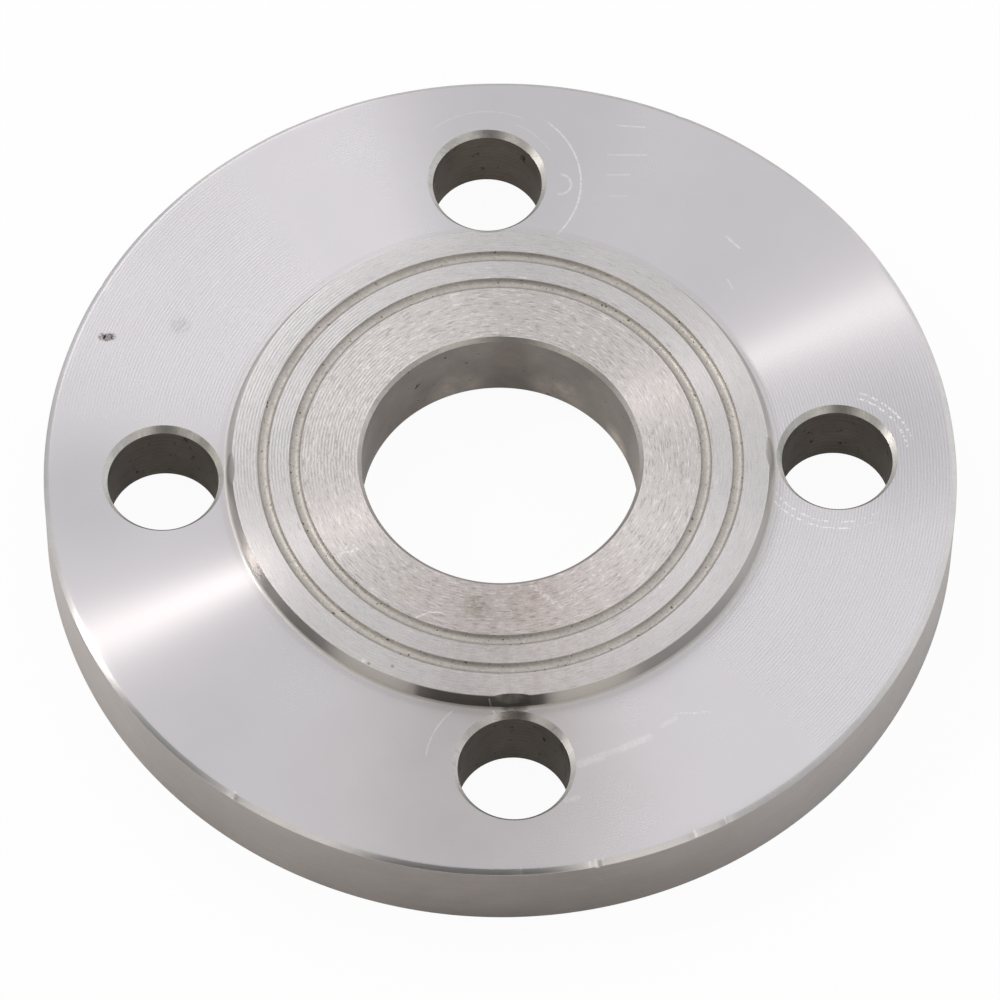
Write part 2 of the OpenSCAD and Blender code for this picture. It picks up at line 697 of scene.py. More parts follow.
GASKET_SCRATCHES = (
    StraightScratch((-11.6, -22.4), (-9.6, -21.5), 0.18, 0.6),
    StraightScratch((-9.8, -21.6), (-8.2, -21.7), 0.16, 0.6),
    StraightScratch((-15.6, -14.2), (-14.4, -18.0), 0.4, 0.3, 2.2),
    StraightScratch((2.8, -17.8), (6.6, -21.6), 0.5, 0.35, 2.2),
    StraightScratch((6.8, -21.4), (11.0, -17.0), 0.4, 0.3, 2.2),
    StraightScratch((7.6, 23.4), (10.6, 20.4), 0.3, 0.3, 2.2),
    StraightScratch((-21.0, -13.2), (-18.4, -12.2), 0.35, 0.6, 2.2),
    StraightScratch((-20.4, -12.2), (-19.0, -11.7), 0.3, 0.5, 2.2),
)

PLATE_LOBES = (Lobe(-11.0, 22.0, 20.0), Lobe(148.0, 6.0, 20.0))
GASKET_LOBES = (Lobe(156.0, 8.0, 34.0),)

FINISHES: dict[Zone, SteelFinish] = {
    Zone.PLATE: SteelFinish(
        "turned_plate_face", (0.65, 0.625, 0.65), 0.28, anisotropy=1.0, spread=0.12,
        cloud=0.2, cloud_size=18.0, grit=0.1,
        lines=TurningLines(
            pitch=0.40, depth=0.004, contrast=0.42, ragged=0.2, tear=1.8,
            lobes=PLATE_LOBES, faint=0.06, calm=0.15,
        ),
        scratches=PLATE_SCRATCHES,
        stains_and_painted_light=(
            StainAndPaintedLight((-49.7, 20.9), 0.75, (0.13, 0.08, 0.06), 1.0, 0.95, 0.4, mottle=3.0),
            StainAndPaintedLight((-49.2, 20.8), 0.8, (0.10, 0.06, 0.045), 1.0, 0.8, 0.4, mottle=3.4),
            StainAndPaintedLight((-48.6, 20.9), 0.75, (0.16, 0.10, 0.07), 1.0, 0.95, 0.4, mottle=3.0),
            StainAndPaintedLight((-39.9, 22.2), 1.9, (0.55, 0.57, 0.48), 0.5, 1.0, mottle=2.0),
            # Warmer and a little darker on the plate below the step at the front.
            StainAndPaintedLight((0.0, -37.0), 12.0, (0.96, 0.935, 0.905), 0.9, 0.7),
            # Painted shade: darker where the bottom hole cuts into the step's foot.
            StainAndPaintedLight((0.4, -34.9), 1.5, (0.45, 0.43, 0.40), 0.95, 0.3, 0.5),
            # Painted shade: the front of the plate darker.
            StainAndPaintedLight((-3.0, -44.0), 30.0, (0.79, 0.77, 0.74), 0.6, 0.25),
            # Painted shade: the plate a little darker at the right and at the left.
            StainAndPaintedLight((50.0, 2.0), 15.0, (0.91, 0.91, 0.91), 1.0, 0.0),
            StainAndPaintedLight((-52.0, -1.0), 12.0, (0.91, 0.91, 0.91), 1.0, 0.0),
            # Painted shade: a thin darker ring at the foot of the step.
            StainAndPaintedLight((0.0, 0.0), 0.6, (0.93, 0.925, 0.915), 0.9, 0.5, inner=0.8, ring=35.1),
        ),
    ),
    Zone.GASKET: SteelFinish(
        "turned_gasket_face", (0.622, 0.597, 0.602), 0.38, anisotropy=0.85, spread=0.24,
        cloud=0.15, cloud_size=9.0, grit=0.45,
        lines=TurningLines(
            pitch=0.388, depth=0.005, contrast=0.46, ragged=0.45, tear=1.2,
            lobes=GASKET_LOBES, faint=0.15, calm=0.6,
        ),
        dashes=Dashes(length=1.5, width=0.2, inside_r=25.0, light=1.0, dark=1.3),
        scratches=GASKET_SCRATCHES,
        stains_and_painted_light=(
            StainAndPaintedLight((0.0, 0.0), 26.5, (0.995, 0.97, 0.95), 1.0, 0.0, 0.94),
            StainAndPaintedLight((-3.8, -21.0), 2.6, (0.58, 0.57, 0.45), 0.75, 0.9),
            StainAndPaintedLight((3.0, -19.5), 5.5, (0.82, 0.76, 0.73), 0.6, 0.9),
            StainAndPaintedLight((2.0, -27.0), 21.0, (0.85, 0.82, 0.80), 0.7, 1.0, mottle=0.8),
            StainAndPaintedLight((-18.2, -28.2), 0.5, (1.4, 1.4, 1.4), 0.9, 0.6),
            StainAndPaintedLight((-17.5, -28.6), 0.35, (0.5, 0.48, 0.46), 0.9, 0.2),
            StainAndPaintedLight((-14.6, -29.1), 0.35, (0.45, 0.42, 0.40), 0.8, 0.2),
            StainAndPaintedLight((-13.0, -17.0), 4.0, (0.82, 0.80, 0.70), 0.4, 0.9),
            # Darker and warmer towards the front.
            StainAndPaintedLight((3.0, -26.0), 22.0, (0.94, 0.90, 0.88), 0.7, 0.3),
            # Painted shade: the gasket face a little darker at the right.
            StainAndPaintedLight((31.0, 0.0), 15.0, (0.94, 0.94, 0.94), 1.0, 0.0),
        ),
    ),
    Zone.GROOVE: SteelFinish(
        "groove_steel", (0.50, 0.472, 0.445), 0.52, anisotropy=0.2, spread=0.2,
        grit=0.6, cloud=0.4, cloud_size=5.0,
        dashes=Dashes(length=0.6, width=0.3, light=0.5, dark=0.6),
        specks=Specks(0.45, 0.39, (0.17, 0.13, 0.09), 0.01),
    ),
    Zone.SIDE: SteelFinish(
        "step_side_steel", (0.53, 0.51, 0.49), 0.30, anisotropy=0.95, spread=0.10, grit=0.3,
        lines=TurningLines(feed=Feed.ALONG, pitch=0.4, depth=0.002, contrast=0.2),
        scratches=SIDE_SCRATCHES,
        stains_and_painted_light=(
            # Painted shade: the front of the step's side darker.
            StainAndPaintedLight((-3.9, -34.0), 8.7, (0.58, 0.56, 0.55), 1.0, 0.1, 0.86),
            # Painted shade: the highlight streak on the step's side dimmed.
            StainAndPaintedLight((-30.6, -15.2), 4.2, (0.60, 0.59, 0.585), 1.0, 0.0),
            # Painted light: the step's side lighter at the right and at the left.
            StainAndPaintedLight((34.2, -1.5), 6.5, (1.52, 1.51, 1.51), 1.0, 0.0),
            StainAndPaintedLight((-34.2, -2.0), 6.0, (1.40, 1.39, 1.39), 1.0, 0.0),
        ),
    ),
    Zone.FOOT: SteelFinish(
        "foot_fillet_steel", (0.60, 0.58, 0.555), 0.55, anisotropy=0.5, spread=0.12, grit=0.3,
        stains_and_painted_light=(
            # Painted shade: the foot darker at both far sides.
            StainAndPaintedLight((30.0, 20.0), 20.0, (0.74, 0.74, 0.75), 1.0, 0.0, 0.6),
            StainAndPaintedLight((-30.0, 20.0), 20.0, (0.74, 0.74, 0.75), 1.0, 0.0, 0.6),
            # Painted shade: darker where the bottom hole cuts into the step's foot.
            StainAndPaintedLight((0.4, -34.6), 2.0, (0.42, 0.40, 0.37), 0.95, 0.3, 0.5),
        ),
    ),
    Zone.SCALLOP: SteelFinish(
        "scallop_steel", (0.62, 0.60, 0.575), 0.5, spread=0.15, grit=0.4, cloud=0.4, cloud_size=3.0,
        stains_and_painted_light=(
            # Painted shade: the scallop above the bottom hole darker.
            StainAndPaintedLight((0.0, -33.6), 6.0, (0.23, 0.22, 0.21), 1.0, 0.3, 0.8),
            # Painted light: the right and left scallops lighter.
            StainAndPaintedLight((33.6, 0.0), 6.0, (1.42, 1.42, 1.42), 1.0, 0.0, 0.8),
            StainAndPaintedLight((-33.6, 0.0), 6.0, (1.30, 1.30, 1.30), 1.0, 0.0, 0.8),
        ),
    ),
    Zone.RIM: SteelFinish(
        "turned_rim", (0.522, 0.490, 0.478), 0.36, anisotropy=0.7, spread=0.13,
        cloud=0.35, cloud_size=8.0, grit=0.3,
        lines=TurningLines(feed=Feed.ALONG, pitch=0.45, depth=0.004, contrast=0.28),
        dashes=Dashes(length=2.4, width=0.25, light=0.25, dark=0.25),
        stains_and_painted_light=(
            # Painted shade: the rim darker at the front.
            StainAndPaintedLight((-10.0, -57.0), 48.0, (0.83, 0.815, 0.80), 1.0, 0.2, 0.7),
            StainAndPaintedLight((-3.0, -57.0), 28.0, (0.80, 0.785, 0.78), 1.0, 0.2, 0.3),
        ),
    ),
    Zone.BREAK: SteelFinish(
        "worn_bevel_steel", (0.63, 0.61, 0.61), 0.30, anisotropy=0.98, spread=0.14,
        grit=0.5, cloud=0.35, cloud_size=2.5,
        # The same bright ticks at the nicks: worn metal with a painted glint.
        scratches=EDGE_GLINT_TICKS,
        # Painted shade: the bevel darker at the left, where it catches the light.
        stains_and_painted_light=(StainAndPaintedLight((-53.0, 21.0), 30.0, (0.84, 0.84, 0.85), 1.0, 0.0, 0.7),),
    ),
    Zone.EDGE: SteelFinish(
        "edge_break_steel", (0.70, 0.685, 0.65), 0.36, spread=0.16, grit=0.6, cloud=0.5, cloud_size=2.0,
    ),
    Zone.BORE: SteelFinish(
        "bored_wall", (0.385, 0.35, 0.33), 0.36, anisotropy=0.5, spread=0.2,
        cloud=0.6, cloud_size=4.0, grit=0.35,
        lines=TurningLines(feed=Feed.ALONG, pitch=0.5, depth=0.003, contrast=0.12, tear=2.0),
        specks=Specks(0.7, 0.26, (0.12, 0.09, 0.065), 0.02),
        stains_and_painted_light=(
            # Painted shade: a darker band on the far side of the bore.
            StainAndPaintedLight((2.0, 17.4), 4.0, (0.76, 0.74, 0.72), 0.9, 0.3),
            # Painted reflection: light vertical bands on the bore's wall.
            StainAndPaintedLight((-5.1, 16.7), 4.8, (1.50, 1.50, 1.45), 1.0, 0.5, height=3.5),
            StainAndPaintedLight((8.2, 15.4), 4.8, (1.55, 1.55, 1.48), 1.0, 0.5, height=4.0),
            StainAndPaintedLight((15.4, 8.4), 3.4, (1.9, 1.9, 1.8), 1.0, 0.6, height=3.0),
        ),
    ),
    Zone.BEVEL: SteelFinish(
        "bevel_steel", (0.56, 0.535, 0.51), 0.42, anisotropy=0.3, spread=0.2,
        grit=0.5, cloud=0.6, cloud_size=4.0,
        dashes=Dashes(length=1.2, width=0.3, light=0.4, dark=0.4),
    ),
    Zone.DRILLED: SteelFinish(
        "drilled_wall", (0.235, 0.207, 0.183), 0.42, spread=0.24, cloud=0.5, cloud_size=3.5, grit=0.4,
        lines=TurningLines(feed=Feed.ALONG, pitch=0.9, depth=0.006, contrast=0.15, tear=2.0),
        specks=Specks(0.9, 0.52, (0.045, 0.032, 0.024), 0.03, 1.4, 0.15),
        # Painted light: the wall of the top hole lighter.
        stains_and_painted_light=(StainAndPaintedLight((0.0, 42.5), 10.0, (1.24, 1.24, 1.22), 1.0, 0.0, 0.8),),
    ),
    Zone.SINK: SteelFinish(
        "countersink_steel", (0.51, 0.495, 0.475), 0.34, spread=0.22, grit=0.6, cloud=0.6, cloud_size=2.5,
        dashes=Dashes(length=0.8, width=0.3, light=0.4, dark=0.5),
        specks=Specks(0.4, 0.2, (0.16, 0.13, 0.10), 0.02),
        stains_and_painted_light=(
            # Painted shade: the right and left countersinks darker on their inner sides.
            StainAndPaintedLight((36.0, 2.0), 4.5, (0.60, 0.62, 0.62), 1.0, 0.3),
            StainAndPaintedLight((-36.5, 2.5), 4.5, (0.66, 0.66, 0.61), 1.0, 0.3),
            # Painted shade: darker at the top of the bottom hole, where it cuts into the step.
            StainAndPaintedLight((0.3, -35.3), 2.4, (0.50, 0.47, 0.43), 0.95, 0.4, 0.5),
        ),
        flatten=2.1,
    ),
    Zone.BACK: SteelFinish(
        "faced_back", (0.62, 0.61, 0.615), 0.40, anisotropy=0.8, spread=0.14,
        cloud=0.25, cloud_size=16.0, grit=0.3,
        lines=TurningLines(pitch=0.55, contrast=0.45),
    ),
}


@dataclass(frozen=True)
class FlangeSizes:
    """Sizes of the flange in millimetres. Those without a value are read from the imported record."""

    flange_r: float
    total_t: float
    bore_r: float
    bolt_circle_r: float
    bolt_hole_r: float
    bolt_count: int
    raised_face_h: float = 2.0
    raised_face_r: float = 33.8
    side_lean: float = 0.8
    foot_fillet_r: float = 0.6
    groove_count: int = 2
    groove_inset: float = 3.9
    groove_pitch: float = 4.0
    groove_w: float = 1.4
    groove_depth: float = 0.5
    bore_chamfer: float = 0.5
    weld_bevel: float = 2.0
    bolt_chamfer: float = 0.65
    sink_half_angle: float = math.radians(35.0)
    rim_break: float = 0.3
    bevel_r: float = 0.6
    bevel_h: float = 0.5
    edge_dull: float = 0.05
    step_round: float = 0.14

    @classmethod
    def from_frame(cls, frame: dict) -> "FlangeSizes":
        """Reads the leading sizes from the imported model.


        Returns:
            The sizes of the flange.
        """
        low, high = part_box("flange")
        dims = {mount["name"]: mount["dims"] for mount in frame["record"]["mounts"]}
        bolts = dims["bolt_circle"]
        return cls(
            flange_r=(high[0] - low[0]) / 2 / MM,
            total_t=(high[2] - low[2]) / MM,
            bore_r=dims["pipe_bore"]["r_mm"],
            bolt_circle_r=bolts["pcd_mm"] / 2,
            bolt_hole_r=bolts["hole_r_mm"],
            bolt_count=int(bolts["count"]),
        )

    @property
    def plate_t(self) -> float:
        """Thickness of the plate at its rim."""
        return self.total_t - self.raised_face_h

    @property
    def holes(self) -> list[Vector]:
        """Middles of the bolt holes, seen from the front."""
        angles = [math.tau / self.bolt_count * i for i in range(self.bolt_count)]
        return [Vector((math.cos(angle), math.sin(angle))) * self.bolt_circle_r for angle in angles]

    @property
    def side_rise(self) -> float:
        """Upward share of the direction that the step's side points in."""
        return math.sin(math.atan2(self.side_lean, self.raised_face_h))

    @property
    def groove_nose_r(self) -> float:
        """Radius of the round tool nose that cut the grooves."""
        return ((self.groove_w / 2) ** 2 + self.groove_depth ** 2) / (2 * self.groove_depth)

    @property
    def sink_slope(self) -> float:
        """How far the countersinks' cone widens for each millimetre of height."""
        return math.tan(self.sink_half_angle)

    @property
    def sink_depth(self) -> float:
        """Depth of the countersinks below the faces of the plate."""
        return self.bolt_chamfer / self.sink_slope

    def sink_r(self, height: float) -> float:
        """Returns the radius of the front countersink's cone at a height."""
        return self.bolt_hole_r + (height - self.plate_t + self.sink_depth) * self.sink_slope

    def back_sink_r(self, height: float) -> float:
        """Returns the radius of the back countersink's cone at a height."""
        return self.bolt_hole_r + (self.sink_depth - height) * self.sink_slope


def arc_points(centre: Point, radius: float, start: float, end: float, steps: int) -> list[Point]:
    """Gives points along an arc.

    Args:
        centre: Middle of the arc.
        radius: Radius of the arc.
        start: Angle of the first point in degrees.
        end: Angle of the last point in degrees.
        steps: Number of pieces between the points.

    Returns:
        The points from start to end, both among them.
    """
    angles = [math.radians(start + (end - start) * i / steps) for i in range(steps + 1)]
    return [(centre[0] + radius * math.cos(a), centre[1] + radius * math.sin(a)) for a in angles]


@dataclass
class FlangeTree:
    """Geometry Nodes that turn an outline on the lathe and drill a ring of holes through the result."""

    path_radius: float = 10.0 * MM
    merge_distance: float = 0.002 * MM
    sockets: dict[str, str] = field(default_factory=dict)

    def start(self, name: str, inputs: dict[str, str], output: str) -> bpy.types.NodeTree:
        """Starts a tree with its sockets and keeps the identifiers of its inputs.

        Args:
            name: Name of the tree.
            inputs: Kind of each input by its name.
            output: Name of the geometry that the tree gives.

        Returns:
            The tree, without nodes.
        """
        tree = bpy.data.node_groups.new(name, "GeometryNodeTree")
        for label, kind in inputs.items():
            made = tree.interface.new_socket(label, in_out="INPUT", socket_type="NodeSocket" + kind)
            self.sockets[label] = made.identifier
        tree.interface.new_socket(output, in_out="OUTPUT", socket_type="NodeSocketGeometry")
        return tree

    def lathe_group(self) -> bpy.types.NodeTree:
        """Builds the group that sweeps an outline round the axis.

        Returns:
            The group, with inputs for the outline, the segments and the radius of the path.
        """
        inputs = {"Outline": "Geometry", "Segments": "Int", "Path Radius": "Float"}
        tree = self.start("lathe", inputs, "Turned")
        canvas = Canvas(tree)
        given = canvas.node("NodeGroupInput").outputs
        outline = canvas.node("GeometryNodeMeshToCurve", {"Mesh": given["Outline"]})
        path = canvas.node("GeometryNodeCurvePrimitiveCircle",
                           {"Resolution": given["Segments"], "Radius": given["Path Radius"]})
        swept = canvas.node("GeometryNodeCurveToMesh",
                            {"Curve": path.outputs["Curve"], "Profile Curve": outline.outputs["Curve"]})
        outward = canvas.node("GeometryNodeFlipFaces", {"Mesh": swept.outputs["Mesh"]})
        closed = canvas.node("GeometryNodeMergeByDistance",
                             {"Geometry": outward.outputs["Mesh"], "Distance": self.merge_distance})
        canvas.node("NodeGroupOutput", {"Turned": closed.outputs["Geometry"]})
        return tree

    def build(self) -> bpy.types.NodeTree:
        """Builds the whole tree, after the group that it uses.

        Returns:
            The tree, which takes both outlines as one mesh with the attribute drill.
        """
        lathe = self.lathe_group()
        inputs = {
            "Outlines": "Geometry",
            "Segments": "Int",
            "Drill Segments": "Int",
            "Path Radius": "Float",
            "Hole Count": "Int",
            "Hole Circle Radius": "Float",
            "Material": "Material",
        }
        tree = self.start("turned_and_drilled", inputs, "Flange")
        canvas = Canvas(tree)
        given = canvas.node("NodeGroupInput").outputs
        drill = canvas.node("GeometryNodeInputNamedAttribute", {"Name": "drill"}, data_type="BOOLEAN")
        parted = canvas.node("GeometryNodeSeparateGeometry",
                             {"Geometry": given["Outlines"], "Selection": drill.outputs["Attribute"]},
                             domain="POINT")
        cutter = canvas.node("GeometryNodeGroup", node_tree=lathe)
        body = canvas.node("GeometryNodeGroup", node_tree=lathe)
        plans = ((cutter, "Selection", "Drill Segments"), (body, "Inverted", "Segments"))
        for turned, outline, segments in plans:
            canvas.put(turned.inputs["Outline"], parted.outputs[outline])
            canvas.put(turned.inputs["Segments"], given[segments])
            canvas.put(turned.inputs["Path Radius"], given["Path Radius"])
        circle = canvas.node("GeometryNodeMeshCircle",
                             {"Vertices": given["Hole Count"], "Radius": given["Hole Circle Radius"]})
        ring = canvas.node("GeometryNodeInstanceOnPoints",
                           {"Points": circle.outputs["Mesh"], "Instance": cutter.outputs["Turned"]})
        cutters = canvas.node("GeometryNodeRealizeInstances", {"Geometry": ring.outputs["Instances"]})
        drilled = canvas.node("GeometryNodeMeshBoolean",
                              {"Mesh 1": body.outputs["Turned"], "Mesh 2": cutters.outputs[0]},
                              operation="DIFFERENCE", solver="EXACT")
        whole = canvas.node("GeometryNodeRealizeInstances", {"Geometry": drilled.outputs["Mesh"]})
        dressed = canvas.node("GeometryNodeSetMaterial",
                              {"Geometry": whole.outputs[0], "Material": given["Material"]})
        canvas.node("NodeGroupOutput", {"Flange": dressed.outputs["Geometry"]})
        return tree


@dataclass(frozen=True)
class EdgeNick:
    """Small dent in the front edge of the rim, in degrees and millimetres."""

    angle: float
    width: float
    depth: float


@dataclass
class TurnedFlange:
    """The flange itself: one turned plate with its ring of bolt holes."""

    sizes: FlangeSizes
    name: str = "turned_flange"
    segments: int = 720
    drill_segments: int = 160
    groove_steps: int = 12
    rim_steps: int = 4
    foot_steps: int = 10
    corner_steps: int = 3
    runout: float = 1.0
    edge_margin: float = 0.3
    edge_rest: float = 0.8
    sharp_angle: float = math.radians(20.0)
    weld_distance: float = 0.004
    uneven_wear: float = 0.015
    wear_share: float = 0.7
    wear_waves: tuple[float, float] = (23.0, 7.0)
    near: float = 0.05
    near_cone: float = 0.06
    touch: float = 0.01
    cone_slack: float = 0.06
    side_slack: float = 0.05
    steep_rise: float = 0.2
    slope_rise: float = 0.3
    back_rise: float = -0.9
    plate_rise: float = 0.95
    bevel_rise: float = 0.97
    corner_rise: float = 0.98
    metals: dict[Zone, bpy.types.Material] = field(default_factory=dict)
    nicks: tuple[EdgeNick, ...] = (
        EdgeNick(-127.5, 0.4, 0.05),
        EdgeNick(-89.7, 0.4, 0.04),
        EdgeNick(-80.4, 0.6, 0.05),
        EdgeNick(-67.4, 0.4, 0.05),
        EdgeNick(-63.0, 0.4, 0.05),
        EdgeNick(64.0, 0.5, 0.06),
        EdgeNick(150.0, 0.5, 0.06),
    )

    def outline(self) -> list[Point]:
        """Draws the turned section.

        Returns:
            The closed outline of the right half, anticlockwise, as radius and height in millimetres.
        """
        s = self.sizes
        lean = math.atan2(s.raised_face_h, s.side_lean)
        reach = s.foot_fillet_r * math.tan(lean / 2)
        foot_r = s.raised_face_r + s.side_lean
        round_r = s.rim_break
        points = [(s.bore_r + s.weld_bevel, 0.0)]
        points += arc_points((s.flange_r - round_r, round_r), round_r, -90.0, 0.0, self.rim_steps)
        points += self._front_edge()
        turn = math.degrees(lean)
        fillet = (foot_r + reach, s.plate_t + s.foot_fillet_r)
        points += arc_points(fillet, s.foot_fillet_r, 270.0, 270.0 - turn, self.foot_steps)
        back_off = s.step_round * math.tan(lean / 2)
        corner = (s.raised_face_r - back_off, s.total_t - s.step_round)
        points += arc_points(corner, s.step_round, 90.0 - turn, 90.0, self.corner_steps)
        for i in range(s.groove_count):
            middle = s.raised_face_r - s.groove_inset - i * s.groove_pitch
            points += self._groove(middle)
        points += [
            (s.bore_r + s.bore_chamfer, s.total_t),
            (s.bore_r, s.total_t - s.bore_chamfer),
            (s.bore_r, s.weld_bevel),
        ]
        return points

    def _front_edge(self) -> list[Point]:
        """Draws the rim's worn front bevel.

        Returns:
            Its outline from the rim to the plate's face.
        """
        s = self.sizes
        low, high = s.plate_t - s.bevel_h, s.flange_r - s.bevel_r
        step = Vector((-s.bevel_r, s.bevel_h)).normalized() * s.edge_dull
        rests = [self.edge_margin + self.edge_rest, self.edge_margin, s.edge_dull]
        return [
            *((s.flange_r, low - rest) for rest in rests),
            (s.flange_r + step.x, low + step.y),
            (high - step.x, s.plate_t - step.y),
            *((high - rest, s.plate_t) for rest in reversed(rests)),
        ]

    def _groove(self, middle: float) -> list[Point]:
        """Draws one ring groove.

        Args:
            middle: Radius of the groove's middle.

        Returns:
            Its outline from the outer lip to the inner lip.
        """
        s = self.sizes
        nose_z = s.total_t - s.groove_depth + s.groove_nose_r
        start = math.degrees(math.asin((s.total_t - s.edge_dull - nose_z) / s.groove_nose_r))
        arc = arc_points((middle, nose_z), s.groove_nose_r, start, -180.0 - start, self.groove_steps)
        lip = s.groove_w / 2 + s.edge_dull
        return [(middle + lip, s.total_t), *arc, (middle - lip, s.total_t)]

    def drill_outline(self) -> list[Point]:
        """Draws the drill and its two countersinks.

        Returns:
            The open outline, from the axis to the axis.
        """
        s = self.sizes
        low, high = -self.runout, s.total_t + self.runout
        return [
            (0.0, low),
            (s.back_sink_r(low), low),
            (s.bolt_hole_r, s.sink_depth),
            (s.bolt_hole_r, s.plate_t - s.sink_depth),
            (s.sink_r(high), high),
            (0.0, high),
        ]

    def _outline_mesh(self, path_radius: float) -> bpy.types.Mesh:
        """Makes one mesh of both outlines.

        Args:
            path_radius: Radius of the path that the outlines are swept along, in metres.

        Returns:
            A mesh of edges, with the attribute drill on the points of the drill's outline.
        """
        body, drill = self.outline(), self.drill_outline()
        corners = [(r * MM - path_radius, -z * MM, 0.0) for r, z in body + drill]
        first = len(body)
        edges = [(i, (i + 1) % first) for i in range(first)]
        edges += [(first + i, first + i + 1) for i in range(len(drill) - 1)]
        mesh = bpy.data.meshes.new("outlines")
        mesh.from_pydata(corners, edges, [])
        flags = mesh.attributes.new("drill", "BOOLEAN", "POINT")
        flags.data.foreach_set("value", [i >= first for i in range(len(corners))])
        return mesh

    def build(self) -> bpy.types.Object:
        """Turns and drills the flange.

        Returns:
            The flange as a plain mesh at the origin, without finishes.
        """
        self.metals = {zone: finish.build() for zone, finish in FINISHES.items()}
        plan = FlangeTree()
        tree = plan.build()
        source = link_object("outlines", self._outline_mesh(plan.path_radius))
        modifier = source.modifiers.new("turned_and_drilled", "NODES")
        modifier.node_group = tree
        values = {
            "Segments": self.segments,
            "Drill Segments": self.drill_segments,
            "Path Radius": plan.path_radius,
            "Hole Count": self.sizes.bolt_count,
            "Hole Circle Radius": self.sizes.bolt_circle_r * MM,
            "Material": self.metals[Zone.PLATE],
        }
        for name, value in values.items():
            modifier[plan.sockets[name]] = value
        depsgraph = bpy.context.evaluated_depsgraph_get()
        mesh = bpy.data.meshes.new_from_object(source.evaluated_get(depsgraph))
        source.modifiers.remove(modifier)
        bpy.data.objects.remove(source)
        mesh.name = self.name
        self._finish_mesh(mesh)
        return link_object(self.name, mesh)

    def _finish_mesh(self, mesh: bpy.types.Mesh) -> None:
        """Closes the mesh, turns its faces outwards and wears its front edge.

        Args:
            mesh: The drilled flange, which is changed in place.
        """
        work = bmesh.new()
        work.from_mesh(mesh)
        bmesh.ops.remove_doubles(work, verts=work.verts, dist=self.weld_distance * MM)
        bmesh.ops.recalc_face_normals(work, faces=work.faces)
        self._wear_edge(work)
        work.to_mesh(mesh)
        work.free()

    def _wear_edge(self, work: bmesh.types.BMesh) -> None:
        """Dents the front edge of the rim at the nicks and makes its width a little uneven.

        Args:
            work: Mesh of the whole flange, in metres.
        """
        s = self.sizes
        inside = self.edge_margin / 2
        quick, slow = self.wear_waves
        for vert in work.verts:
            r, z = math.hypot(vert.co.x, vert.co.y) / MM, vert.co.z / MM
            if r < s.flange_r - s.bevel_r - inside or z < s.plate_t - s.bevel_h - inside:
                continue
            angle = math.atan2(vert.co.y, vert.co.x)
            press = self.uneven_wear * (1.0 + math.sin(angle * quick) * math.sin(angle * slow + 1.0))
            for nick in self.nicks:
                off = math.remainder(angle - math.radians(nick.angle), math.tau) * s.flange_r / nick.width
                press += nick.depth * math.exp(-off * off)
            vert.co.x -= press * self.wear_share * math.cos(angle) * MM
            vert.co.y -= press * self.wear_share * math.sin(angle) * MM
            vert.co.z -= press * self.wear_share * MM

    def zone_of(self, centre: Vector, normal: Vector) -> Zone:
        """Finds the zone of a face.

        Args:
            centre: Middle of the face in metres.
            normal: Direction that the face points in.

        Returns:
            The zone.
        """
        s = self.sizes
        r, z = math.hypot(centre.x, centre.y) / MM, centre.z / MM
        from_hole = min((Vector((centre.x, centre.y)) / MM - hole).length for hole in s.holes)
        steep = abs(normal.z) < self.steep_rise
        if from_hole < s.bolt_hole_r + self.near and steep:
            return Zone.DRILLED
        sloped = abs(abs(normal.z) - math.sin(s.sink_half_angle)) < self.cone_slack
        if sloped and from_hole < s.sink_r(s.total_t) + self.near:
            cone = s.sink_r(z) if normal.z > 0.0 else s.back_sink_r(z)
            if abs(from_hole - cone) < self.near_cone:
                return Zone.SCALLOP if z > s.plate_t + self.near else Zone.SINK
        if normal.z < self.back_rise:
            return Zone.BACK
        if r < s.bore_r + self.near:
            return Zone.BORE
        if normal.z < -self.slope_rise and r < s.bore_r + s.weld_bevel:
            return Zone.BEVEL
        if r < s.bore_r + s.bore_chamfer:
            return Zone.BEVEL
        if r > s.flange_r - s.bevel_r - s.edge_dull and self.steep_rise < normal.z < self.bevel_rise:
            return Zone.BREAK
        if r > s.flange_r - s.rim_break:
            return Zone.RIM if steep else Zone.EDGE
        rounded = self.slope_rise < normal.z < self.corner_rise
        if rounded and r > s.raised_face_r - s.step_round and z > s.total_t - s.step_round:
            return Zone.EDGE
        if r > s.raised_face_r + self.touch:
            if normal.z > self.plate_rise:
                return Zone.PLATE
            return Zone.FOOT if normal.z > s.side_rise + self.side_slack else Zone.SIDE
        return Zone.GASKET if z > s.total_t - self.touch else Zone.GROOVE

    def dress(self, flange: bpy.types.Object) -> None:
        """Gives each face the finish of its zone, and crisp edges where two cuts meet.

        Args:
            flange: The flange that build() made.
        """
        mesh = flange.data
        mesh.materials.clear()
        order = list(Zone)
        for zone in order:
            mesh.materials.append(self.metals[zone])
        counts = dict.fromkeys(order, 0)
        for face in mesh.polygons:
            zone = self.zone_of(face.center, face.normal)
            face.material_index = order.index(zone)
            counts[zone] += 1
        mesh.shade_smooth()
        mesh.set_sharp_from_angle(angle=self.sharp_angle)
        for zone, count in counts.items():
            LOG.info("zone %s: %d faces", zone.value, count)


